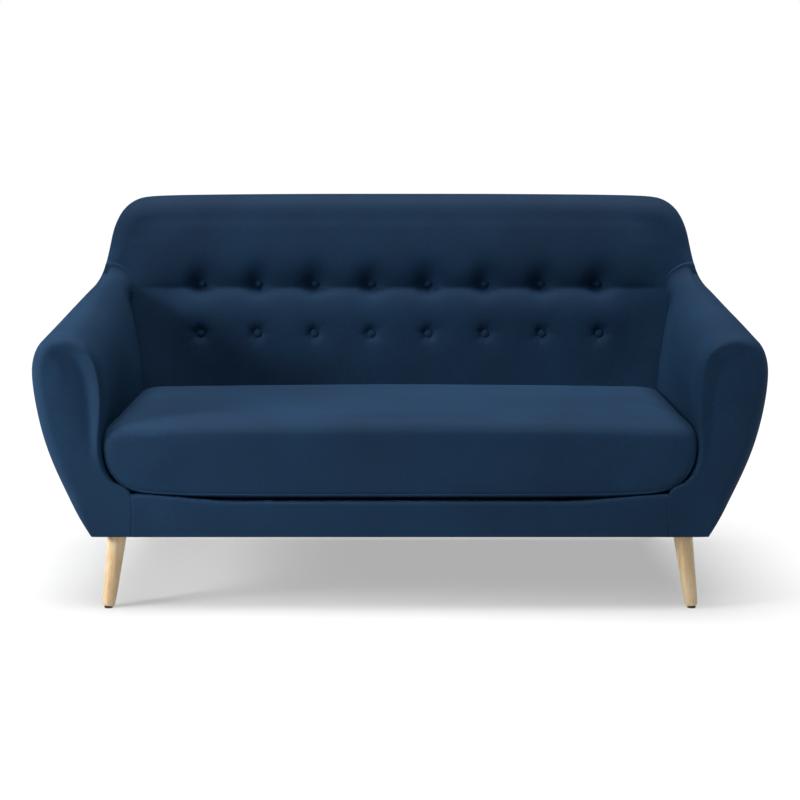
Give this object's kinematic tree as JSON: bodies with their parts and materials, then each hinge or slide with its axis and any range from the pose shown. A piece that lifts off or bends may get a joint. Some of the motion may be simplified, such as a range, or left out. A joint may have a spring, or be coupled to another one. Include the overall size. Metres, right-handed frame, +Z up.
{
  "type": "sofa with wooden legs",
  "caption": "Compact sofa with a button-tufted raked back, barrel-shaped padded arms, a loose bench cushion and splayed turned wooden legs.",
  "frame": {"origin": "on the floor under the middle of the sofa", "axes": "+X along the sofa, to the right when facing it from the front; -Y towards the front; +Z up"},
  "size_m": [1.5412, 0.82, 0.8428],
  "materials": {
    "blue_cloth": "matte",
    "deck_cloth": "matte",
    "cover_cloth": "matte",
    "webbing_cloth": "matte",
    "pine_timber": "matte",
    "birch_plywood": "matte",
    "beech_varnished": "satin",
    "zinc_steel": "satin",
    "glide_plastic": "matte"
  },
  "bodies": {
    "sofa_frame": {"back_lower_rail": "pine_timber", "back_top_rail": "pine_timber", "back_upper_rail": "pine_timber", "centre_rail": "pine_timber", "dust_cover": "cover_cloth", "front_apron": "blue_cloth", "front_rail": "pine_timber", "inside_back": "blue_cloth", "left_arm": "blue_cloth", "left_arm_front_post": "birch_plywood", "left_arm_rail": "pine_timber", "left_arm_rear_post": "birch_plywood", "left_back_post": "pine_timber", "left_front_corner_block": "pine_timber", "left_front_glide": "glide_plastic", "left_front_leg": "beech_varnished", "left_front_leg_plate": "zinc_steel", "left_rear_corner_block": "pine_timber", "left_rear_glide": "glide_plastic", "left_rear_leg": "beech_varnished", "left_rear_leg_plate": "zinc_steel", "left_side_rail": "pine_timber", "lower_button_1": "blue_cloth", "lower_button_2": "blue_cloth", "lower_button_3": "blue_cloth", "lower_button_4": "blue_cloth", "lower_button_5": "blue_cloth", "lower_button_6": "blue_cloth", "lower_button_7": "blue_cloth", "lower_button_8": "blue_cloth", "outside_back": "blue_cloth", "rear_rail": "pine_timber", "right_arm": "blue_cloth", "right_arm_front_post": "birch_plywood", "right_arm_rail": "pine_timber", "right_arm_rear_post": "birch_plywood", "right_back_post": "pine_timber", "right_front_corner_block": "pine_timber", "right_front_glide": "glide_plastic", "right_front_leg": "beech_varnished", "right_front_leg_plate": "zinc_steel", "right_rear_corner_block": "pine_timber", "right_rear_glide": "glide_plastic", "right_rear_leg": "beech_varnished", "right_rear_leg_plate": "zinc_steel", "right_side_rail": "pine_timber", "seat_deck": "deck_cloth", "upper_button_1": "blue_cloth", "upper_button_2": "blue_cloth", "upper_button_3": "blue_cloth", "upper_button_4": "blue_cloth", "upper_button_5": "blue_cloth", "upper_button_6": "blue_cloth", "upper_button_7": "blue_cloth", "upper_button_8": "blue_cloth", "webbing_1": "webbing_cloth", "webbing_2": "webbing_cloth", "webbing_3": "webbing_cloth", "webbing_4": "webbing_cloth"},
    "cushion": {"seat_cushion": "blue_cloth"}
  },
  "joints": [
    {"name": "cushion_lift", "type": "slide", "parent": "sofa_frame", "child": "cushion", "axis": [0, 0, 1], "range_m": [0, 0.25]}
  ]
}
